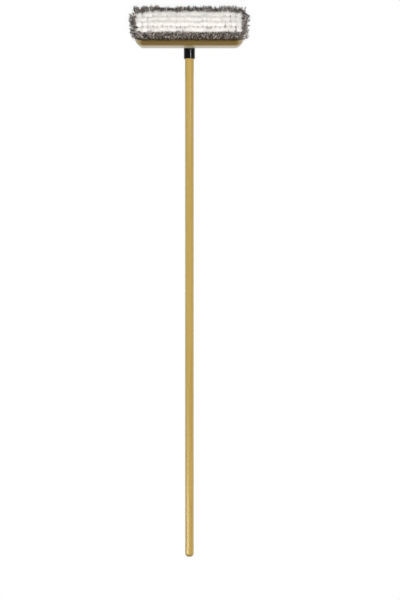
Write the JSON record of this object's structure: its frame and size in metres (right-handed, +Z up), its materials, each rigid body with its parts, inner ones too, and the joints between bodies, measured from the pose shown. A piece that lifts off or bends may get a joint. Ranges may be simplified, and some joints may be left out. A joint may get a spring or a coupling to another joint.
{
  "type": "truck wash brush",
  "caption": "Long-handled wash brush: rounded wooden block with grey border tufts and white centre tufts, on a straight wooden handle that screws in at a slant through a black ferrule.",
  "frame": {"origin": "on the surface that the brush lies on, in its middle plane, halfway along its whole length", "axes": "+X along the block, +Y from the handle's free end towards the head, +Z up, the way the bristles point as it lies on its back"},
  "size_m": [0.3233, 1.5282, 0.1177],
  "materials": {
    "block_wood": "lacquered wood, golden brown",
    "handle_wood": "lacquered wood, pale golden tan",
    "ferrule_plastic": "glossy black moulded plastic",
    "pin_steel": "plain steel pin",
    "grey_bristle": "charcoal grey synthetic bristle with split tips",
    "white_bristle": "warm white synthetic bristle with split tips"
  },
  "bodies": {
    "head": {"brush_block": "block_wood", "grey_row_handle_side": "grey_bristle", "grey_row_far_side": "grey_bristle", "grey_tufts_left_end": "grey_bristle", "grey_tufts_right_end": "grey_bristle", "white_row_1": "white_bristle", "white_row_2": "white_bristle", "white_row_3": "white_bristle", "white_row_4": "white_bristle"},
    "handle_unit": {"ferrule": "ferrule_plastic", "handle": "handle_wood", "ferrule_pin": "pin_steel"}
  },
  "joints": [
    {"name": "handle_unscrew", "type": "slide", "parent": "head", "child": "handle_unit", "axis": [0, -1, -0.0064], "range_m": [0, 0.08]}
  ]
}
